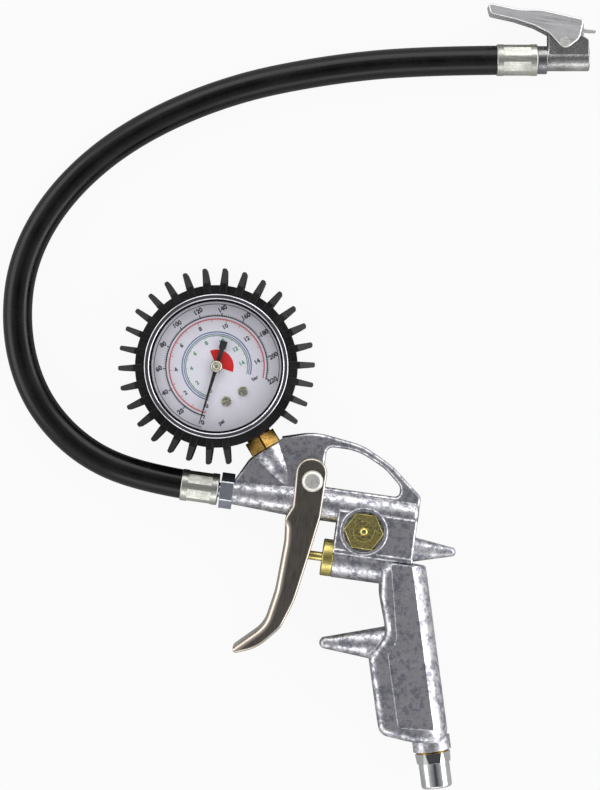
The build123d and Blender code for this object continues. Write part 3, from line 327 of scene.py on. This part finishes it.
def plated_metal(
    name, dark, light, rough=(0.18, 0.3), lines=None, corner=0.25, edge_colour=None, wave=0.12
):
    """A plated or turned metal: fine lines, uneven gloss, corners rubbed bright."""
    material, tree, shader = new_material(name)
    smudge = use_group(tree, HANDLING, Size=2.0)["Smudge"]
    edge = use_group(tree, EDGES, Radius=corner * MM, Gain=3.0)["Mask"]
    settings = lines or {"Along_X": 1500.0, "Along_Y": 1500.0, "Along_Z": 1500.0}
    scratches = use_group(tree, FINE_LINES, **settings)
    colour = blend_colours(tree, smudge, dark, light)
    colour = blend_colours(tree, edge, colour, edge_colour or light)
    polish = math_node(tree, "MULTIPLY", scratches["Tone"], smudge)
    gloss = spread(tree, polish, 0.0, 0.7, rough[1], rough[0])
    corners = soft_corners(tree, 0.5 * corner * MM)
    normal = raised(tree, scratches["Height"], wave, 0.05 * MM, corners)
    feed(tree, shader, Base_Color=colour, Metallic=1.0, Roughness=gloss, Normal=normal)
    return material


def rubber(name, colour, worn, rough=(0.35, 0.5), grain=1.0):
    """Moulded rubber with a fine grain and paler rubbed corners."""
    material, tree, shader = new_material(name)
    skin = use_group(tree, CAST_SKIN, Size=grain)
    smudge = use_group(tree, HANDLING, Size=1.5)["Smudge"]
    edge = use_group(tree, EDGES, Radius=0.5 * MM, Gain=3.0)["Mask"]
    tint = blend_colours(tree, math_node(tree, "MULTIPLY", edge, 0.6), colour, worn)
    tint = blend_colours(tree, math_node(tree, "MULTIPLY", smudge, 0.25), tint, worn)
    gloss = spread(tree, smudge, 0.0, 1.0, rough[0], rough[1])
    normal = raised(tree, skin["Height"], 0.2, 0.06 * MM, soft_corners(tree, 0.4 * MM))
    feed(tree, shader, Base_Color=tint, Roughness=gloss, Normal=normal, Specular_IOR_Level=0.3)
    return material


def hose_rubber():
    """Black extruded rubber with long glossy streaks."""
    material, tree, shader = new_material("hose_rubber")
    smudge = use_group(tree, HANDLING, Size=1.2)["Smudge"]
    skin = use_group(tree, CAST_SKIN, Size=0.8)
    dusting = math_node(tree, "MULTIPLY", smudge, 0.5)
    tint = blend_colours(tree, dusting, (0.003, 0.003, 0.003, 1), (0.010, 0.010, 0.011, 1))
    gloss = spread(tree, smudge, 0.0, 1.0, 0.16, 0.3)
    normal = raised(tree, skin["Height"], 0.15, 0.05 * MM)
    feed(tree, shader, Base_Color=tint, Roughness=gloss, Normal=normal, Specular_IOR_Level=0.35)
    return material


def clear_lens():
    """A clear lens that lets light fall on the dial."""
    material, tree, shader = new_material("clear_lens")
    smudge = use_group(tree, HANDLING, Size=1.0)["Smudge"]
    feed(tree, shader, Base_Color=(1, 1, 1, 1), Roughness=spread(tree, smudge, 0.0, 1.0, 0.0, 0.03))
    feed(tree, shader, Transmission_Weight=1.0, IOR=1.46)
    output = tree.nodes["Material Output"]
    shadow = add_node(tree, "LightPath").outputs["Is Shadow Ray"]
    through = add_node(tree, "BsdfTransparent").outputs[0]
    mixed = add_node(tree, "MixShader", {0: shadow, 1: shader.outputs[0], 2: through})
    tree.links.new(mixed.outputs[0], output.inputs["Surface"])
    return material


def printed(name, colour, rough=0.45, fade=0.25):
    """Flat paint or ink, slightly uneven."""
    material, tree, shader = new_material(name)
    smudge = use_group(tree, HANDLING, Size=6.0)["Smudge"]
    pale = tuple(c + (1 - c) * fade * 0.4 for c in colour[:3]) + (1,)
    tint = blend_colours(tree, smudge, colour, pale)
    feed(tree, shader, Base_Color=tint, Roughness=spread(tree, smudge, 0.0, 1.0, rough, rough + 0.1))
    return material


def pale_floor():
    """A plain pale table top: near white to the eye, calmer in the metal's reflections."""
    material, tree, shader = new_material("pale_floor")
    smudge = use_group(tree, HANDLING, Size=0.2)["Smudge"]
    tint = blend_colours(tree, smudge, (0.50, 0.50, 0.50, 1), (0.52, 0.52, 0.52, 1))
    feed(tree, shader, Base_Color=tint, Roughness=0.8, Specular_IOR_Level=0.1)
    glow = add_node(tree, "Emission", {"Color": (1, 1, 1, 1), "Strength": 1.0})
    seen = math_node(tree, "MULTIPLY", add_node(tree, "LightPath").outputs["Is Camera Ray"], 0.93)
    mixed = add_node(tree, "MixShader", {0: seen, 1: shader.outputs[0], 2: glow.outputs[0]})
    tree.links.new(mixed.outputs[0], tree.nodes["Material Output"].inputs["Surface"])
    return material


TURNED = {"Along_X": 900.0, "Along_Y": 900.0, "Along_Z": 900.0}
ALONG_BARREL = {"Along_X": 60.0, "Along_Y": 1400.0, "Along_Z": 1400.0}

FINISHES = {
    "cast_aluminium": cast_aluminium(),
    "trigger_steel": plated_metal(
        "trigger_steel", (0.55, 0.49, 0.41, 1), (0.66, 0.60, 0.52, 1), rough=(0.16, 0.24),
        lines={"Along_X": 1600.0, "Along_Y": 160.0, "Along_Z": 1600.0}, corner=0.4,
        edge_colour=(0.84, 0.80, 0.73, 1), wave=0.05,
    ),
    "bright_steel": plated_metal(
        "bright_steel", (0.80, 0.78, 0.73, 1), (0.95, 0.93, 0.88, 1), rough=(0.36, 0.5), wave=0.2,
    ),
    "spring_steel": plated_metal("spring_steel", (0.45, 0.45, 0.46, 1), (0.62, 0.62, 0.62, 1)),
    "olive_brass": plated_metal(
        "olive_brass", (0.52, 0.43, 0.12, 1), (0.92, 0.82, 0.34, 1), rough=(0.2, 0.36), lines=TURNED,
        edge_colour=(0.92, 0.86, 0.48, 1), wave=0.3,
    ),
    "amber_brass": plated_metal(
        "amber_brass", (0.11, 0.06, 0.015, 1), (0.36, 0.22, 0.06, 1), rough=(0.16, 0.32), lines=TURNED,
        edge_colour=(0.8, 0.62, 0.3, 1), wave=0.3,
    ),
    "screw_brass": plated_metal(
        "screw_brass", (0.60, 0.58, 0.42, 1), (0.84, 0.82, 0.66, 1), rough=(0.22, 0.36),
    ),
    "movement_brass": plated_metal("movement_brass", (0.60, 0.45, 0.16, 1), (0.78, 0.62, 0.28, 1)),
    "chrome_steel": plated_metal(
        "chrome_steel", (0.62, 0.64, 0.63, 1), (0.80, 0.82, 0.81, 1), rough=(0.05, 0.11), wave=0.04,
    ),
    "chrome_bezel": plated_metal(
        "chrome_bezel", (0.68, 0.68, 0.72, 1), (0.84, 0.84, 0.88, 1), rough=(0.07, 0.15), wave=0.03,
    ),
    "zinc_nut": plated_metal(
        "zinc_nut", (0.42, 0.45, 0.52, 1), (0.60, 0.63, 0.70, 1), rough=(0.28, 0.4),
    ),
    "zinc_ferrule": plated_metal(
        "zinc_ferrule", (0.46, 0.47, 0.42, 1), (0.72, 0.72, 0.66, 1), rough=(0.26, 0.42),
        lines=ALONG_BARREL, wave=0.3,
    ),
    "zinc_chuck": plated_metal(
        "zinc_chuck", (0.22, 0.22, 0.22, 1), (0.60, 0.60, 0.58, 1), rough=(0.24, 0.4), wave=0.25,
    ),
    "lever_steel": plated_metal(
        "lever_steel", (0.78, 0.78, 0.79, 1), (0.94, 0.94, 0.94, 1), rough=(0.34, 0.46),
        lines=ALONG_BARREL,
    ),
    "dark_steel": plated_metal(
        "dark_steel", (0.20, 0.20, 0.21, 1), (0.36, 0.36, 0.37, 1), rough=(0.2, 0.34),
    ),
    "painted_steel": rubber(
        "painted_steel", (0.012, 0.012, 0.013, 1), (0.05, 0.05, 0.05, 1), rough=(0.25, 0.4),
    ),
    "boot_rubber": rubber(
        "boot_rubber", (0.006, 0.006, 0.006, 1), (0.034, 0.035, 0.032, 1), rough=(0.36, 0.5),
    ),
    "seal_rubber": rubber("seal_rubber", (0.012, 0.012, 0.012, 1), (0.04, 0.04, 0.04, 1)),
    "hose_rubber": hose_rubber(),
    "clear_lens": clear_lens(),
    "dial_white": printed("dial_white", (0.86, 0.85, 0.94, 1), rough=0.4, fade=0.1),
    "pointer_black": printed("pointer_black", (0.008, 0.008, 0.008, 1), rough=0.35, fade=0.05),
}
BLACK_INK = printed("black_ink", (0.02, 0.02, 0.035, 1))
BLUE_INK = printed("blue_ink", (0.12, 0.18, 0.36, 1))
GREEN_INK = printed("green_ink", (0.10, 0.32, 0.16, 1))
RED_INK = printed("red_ink", (0.72, 0.14, 0.15, 1))
RED_PAINT = printed("red_paint", (0.74, 0.006, 0.006, 1), fade=0.02)


def paint(piece, material):
    """Gives a piece one material."""
    piece.data.materials.clear()
    piece.data.materials.append(material)


def finish_cad_nodes():
    """Each CAD node gets the finish of its slot in the record."""
    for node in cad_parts.values():
        slot = node.material_slots[0]
        slot.material = FINISHES[slot.material.name.split(".")[0]]


# ---------------------------------------------------------------- dial printing
INK = 0.04 * MM  # thickness of the printing
SCALE_START = math.radians(225)  # clockwise from the top of the dial
SCALE_SWEEP = math.radians(270)
PATCH_EDGES = (math.radians(-31), math.radians(102))  # clockwise from the tool's +Y
PATCH_R = 7.5 * MM
BAR_MARKS = 14  # the last whole bar that is marked
BAR_FULL = 15.17  # bar at the outer scale's end
# each word with its reach, its angle clockwise and its height
UNIT_MARKS = [("psi", 24.6 * MM, 206, 2.4 * MM), ("bar", 17.6 * MM, 138, 2.2 * MM)]


def deselect():
    """Nothing selected, so that an operator acts on the new piece alone."""
    if bpy.context.object and bpy.context.object.mode != "OBJECT":
        bpy.ops.object.mode_set(mode="OBJECT")
    bpy.ops.object.select_all(action="DESELECT")


def settle(piece):
    """Puts a piece's place, turn and size into its mesh."""
    deselect()
    piece.select_set(True)
    bpy.context.view_layer.objects.active = piece
    bpy.ops.object.transform_apply(location=True, rotation=True, scale=True)


def join(pieces, name):
    """Several meshes made one piece."""
    deselect()
    for piece in pieces:
        piece.select_set(True)
    bpy.context.view_layer.objects.active = pieces[0]
    bpy.ops.object.join()
    pieces[0].name = name
    return pieces[0]


def face_out(piece):
    """Faces turned to point outwards."""
    deselect()
    piece.select_set(True)
    bpy.context.view_layer.objects.active = piece
    bpy.ops.object.mode_set(mode="EDIT")
    bpy.ops.mesh.select_all(action="SELECT")
    bpy.ops.mesh.normals_make_consistent(inside=False)
    bpy.ops.object.mode_set(mode="OBJECT")


def dial_point(reach, clockwise, height=0.0):
    """A place on the dial from its centre, by the angle clockwise from its top."""
    angle = GAUGE_TURN - clockwise
    across, up = -reach * math.sin(angle), reach * math.cos(angle)
    return Vector((DIAL_CENTRE.x + across, DIAL_CENTRE.y + up, DIAL_TOP + height))


def on_dial(piece, material):
    """A finished piece of the dial's printing."""
    face_out(piece)
    paint(piece, material)
    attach(piece, "tool")


def dial_arc(name, radius, width, material, start=SCALE_START, sweep=SCALE_SWEEP):
    """A printed arc: a thin upright section spun round the dial's centre."""
    deselect()
    bpy.ops.mesh.primitive_plane_add(size=1, location=dial_point(radius, start, INK / 2))
    arc = bpy.context.object
    arc.name = name
    arc.scale = (width, INK, 1)
    arc.rotation_euler = (math.radians(90), 0, GAUGE_TURN - start + math.radians(90))
    settle(arc)
    bpy.ops.object.mode_set(mode="EDIT")
    bpy.ops.mesh.select_all(action="SELECT")
    steps = max(8, round(math.degrees(sweep) / 3))
    centre = (DIAL_CENTRE.x, DIAL_CENTRE.y, DIAL_TOP)
    bpy.ops.mesh.spin(steps=steps, angle=sweep, center=centre, axis=(0, 0, 1))
    bpy.ops.object.mode_set(mode="OBJECT")
    on_dial(arc, material)
    return arc


def dial_ticks(name, inner, outer, width, count, material, sweep=SCALE_SWEEP):
    """Marks round a scale, made once and copied."""
    deselect()
    bpy.ops.mesh.primitive_cube_add(size=1)
    first = bpy.context.object
    first.scale = (width, outer - inner, INK)
    settle(first)
    ticks = [first]
    for _ in range(count):
        copy = first.copy()
        copy.data = first.data.copy()
        bpy.context.scene.collection.objects.link(copy)
        ticks.append(copy)
    for k, tick in enumerate(ticks):
        angle = SCALE_START + sweep * k / count
        tick.location = dial_point((inner + outer) / 2, angle, INK / 2)
        tick.rotation_euler = (0, 0, GAUGE_TURN - angle)
        settle(tick)
    on_dial(join(ticks, name), material)


def text_piece(words, height, place):
    """A printed word or number, upright on the dial."""
    deselect()
    bpy.ops.object.text_add(location=place)
    text = bpy.context.object
    text.data.body = words
    text.data.size = height
    text.data.extrude = INK / 2
    text.data.align_x = "CENTER"
    text.data.align_y = "CENTER"
    text.data.resolution_u = 3
    text.data.offset = height * 0.045
    text.rotation_euler = (0, 0, GAUGE_TURN)
    bpy.ops.object.convert(target="MESH")
    settle(text)
    return text


def dial_numbers(name, values, radius, height, material, sweep=SCALE_SWEEP):
    """The numbers of one scale."""
    pieces = []
    for k, value in enumerate(values):
        angle = SCALE_START + sweep * k / (len(values) - 1)
        pieces.append(text_piece(str(value), height, dial_point(radius, angle, INK / 2)))
    on_dial(join(pieces, name), material)


def red_patch():
    """The red sector under the pointer's tail."""
    deselect()
    bpy.ops.mesh.primitive_circle_add(vertices=96, radius=PATCH_R, fill_type="NGON")
    patch = bpy.context.object
    patch.name = "red_patch"
    bpy.ops.object.mode_set(mode="EDIT")
    bpy.ops.mesh.select_all(action="SELECT")
    from_angle, to_angle = PATCH_EDGES
    bpy.ops.mesh.bisect(
        plane_co=(0, 0, 0), plane_no=(math.cos(from_angle), -math.sin(from_angle), 0), clear_inner=True
    )
    bpy.ops.mesh.select_all(action="SELECT")
    bpy.ops.mesh.bisect(
        plane_co=(0, 0, 0), plane_no=(math.cos(to_angle), -math.sin(to_angle), 0), clear_outer=True
    )
    bpy.ops.mesh.select_all(action="SELECT")
    bpy.ops.mesh.extrude_region_move(TRANSFORM_OT_translate={"value": (0, 0, INK)})
    bpy.ops.object.mode_set(mode="OBJECT")
    patch.location = (DIAL_CENTRE.x, DIAL_CENTRE.y, DIAL_TOP)
    settle(patch)
    on_dial(patch, RED_PAINT)



def print_dial():
    """Three scales on one dial, as generic pressure numbers."""
    inner_sweep = SCALE_SWEEP * BAR_MARKS / BAR_FULL
    dial_arc("outer_line", 27.5 * MM, 0.3 * MM, BLACK_INK)
    dial_arc("outer_scale_line", 22.3 * MM, 0.55 * MM, BLACK_INK)
    dial_ticks("outer_scale_marks", 22.0 * MM, 23.6 * MM, 0.5 * MM, 11, BLACK_INK)
    dial_ticks("outer_scale_fine_marks", 22.3 * MM, 23.1 * MM, 0.2 * MM, 110, BLACK_INK)
    dial_numbers("outer_numbers", range(0, 221, 20), 25.4 * MM, 2.8 * MM, BLACK_INK)
    dial_arc("red_scale_line", 20.9 * MM, 0.6 * MM, RED_INK)
    dial_ticks("red_scale_marks", 19.6 * MM, 20.9 * MM, 0.3 * MM, BAR_MARKS, RED_INK, inner_sweep)
    dial_ticks("red_scale_fine_marks", 20.1 * MM, 20.9 * MM, 0.12 * MM, 70, RED_INK, inner_sweep)
    dial_numbers("middle_numbers", range(0, 15, 2), 17.9 * MM, 2.6 * MM, BLACK_INK, inner_sweep)
    dial_arc("blue_scale_line", 15.2 * MM, 0.55 * MM, BLUE_INK)
    dial_arc("blue_inner_line", 14.3 * MM, 0.4 * MM, BLUE_INK)
    dial_arc("green_scale_line", 13.6 * MM, 0.4 * MM, GREEN_INK)
    dial_ticks("green_scale_marks", 12.8 * MM, 13.6 * MM, 0.2 * MM, BAR_MARKS, GREEN_INK, inner_sweep)
    dial_numbers("inner_numbers", range(0, 15, 2), 11.1 * MM, 2.5 * MM, GREEN_INK, inner_sweep)
    for words, radius, clockwise, height in UNIT_MARKS:
        mark = text_piece(words, height, dial_point(radius, math.radians(clockwise), INK / 2))
        mark.name = words + "_mark"
        on_dial(mark, BLACK_INK)
    red_patch()


# ---------------------------------------------------------------- pointer
HUB_CAP_R = 2.5 * MM
HUB_CAP_H = 0.6 * MM


def add_hub_cap():
    """The turned cap over the pointer's hub: a stepped button with a dimpled top."""
    low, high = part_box("gauge_pointer")
    deselect()
    bpy.ops.mesh.primitive_cylinder_add(vertices=48, radius=HUB_CAP_R, depth=HUB_CAP_H)
    cap = bpy.context.object
    cap.name = "pointer_hub_cap"
    bpy.ops.object.mode_set(mode="EDIT")
    bpy.ops.mesh.select_mode(type="FACE")
    bpy.ops.mesh.select_all(action="DESELECT")
    bpy.ops.object.mode_set(mode="OBJECT")
    for face in cap.data.polygons:
        face.select = face.normal.z > 0.9
    bpy.ops.object.mode_set(mode="EDIT")
    bpy.ops.mesh.inset(thickness=0.5 * MM)
    bpy.ops.transform.translate(value=(0, 0, 0.35 * MM))
    bpy.ops.mesh.inset(thickness=0.7 * MM)
    bpy.ops.mesh.inset(thickness=0.25 * MM)
    bpy.ops.transform.translate(value=(0, 0, -0.25 * MM))
    bpy.ops.object.mode_set(mode="OBJECT")
    cap.location = (DIAL_CENTRE.x, DIAL_CENTRE.y, high.z + HUB_CAP_H / 2)
    settle(cap)
    bevel = cap.modifiers.new("rounded", "BEVEL")
    bevel.width = 0.08 * MM
    bevel.segments = 2
    bpy.ops.object.modifier_apply(modifier=bevel.name)
    face_out(cap)
    bpy.ops.object.shade_smooth_by_angle(angle=math.radians(35))
    paint(cap, FINISHES["screw_brass"])
    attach(cap, "pointer")


# ---------------------------------------------------------------- studio
FLOOR_SIDE = 8  # metres
# each light's name, azimuth, elevation, distance, size and power
LIGHTS = [
    ("right_softbox", 5, 22, 1.4, (2.0, 0.8), 13),
    ("left_softbox", 175, 22, 1.4, (2.0, 0.8), 7),
    ("top_softbox", 95, 32, 1.4, (1.6, 0.8), 6),
    ("front_softbox", 270, 32, 1.4, (1.2, 0.6), 2.5),
]


def add_floor():
    """A wide pale table top under the tool."""
    deselect()
    bpy.ops.mesh.primitive_plane_add(size=FLOOR_SIDE, location=(0, 0, 0))
    floor = bpy.context.object
    floor.name = "floor"
    paint(floor, pale_floor())


def add_sky():
    """Soft studio air: bright at the sides, greyer overhead, dark straight above."""
    world = bpy.data.worlds.new("studio")
    bpy.context.scene.world = world
    world.use_nodes = True
    tree = world.node_tree
    direction = add_node(tree, "TexCoord").outputs["Generated"]
    height = add_node(tree, "SeparateXYZ", {0: direction}).outputs["Z"]
    overhead = spread(tree, height, 0.50, 0.90)
    core = spread(tree, height, 0.94, 0.995)
    colour = blend_colours(tree, overhead, (0.85, 0.85, 0.85, 1), (0.30, 0.30, 0.32, 1))
    colour = blend_colours(tree, core, colour, (0.06, 0.06, 0.065, 1))
    tree.links.new(colour, tree.nodes["Background"].inputs["Color"])
    tree.nodes["Background"].inputs["Strength"].default_value = 1.0


def add_light(name, azimuth, elevation, distance, size, energy):
    """A soft area light aimed at the tool."""
    data = bpy.data.lights.new(name, "AREA")
    data.shape = "RECTANGLE"
    data.size, data.size_y = size
    data.energy = energy
    light = bpy.data.objects.new(name, data)
    bpy.context.scene.collection.objects.link(light)
    turn, rise = math.radians(azimuth), math.radians(elevation)
    out = Vector((math.cos(turn) * math.cos(rise), math.sin(turn) * math.cos(rise), math.sin(rise)))
    light.location = VIEW_CENTRE + out * distance
    light.rotation_euler = (-out).to_track_quat("-Z", "Y").to_euler()


add_camera()
rubber_hose = add_hose()
paint(rubber_hose, FINISHES["hose_rubber"])
finish_cad_nodes()
print_dial()
add_hub_cap()
add_floor()
add_sky()
for softbox in LIGHTS:
    add_light(*softbox)
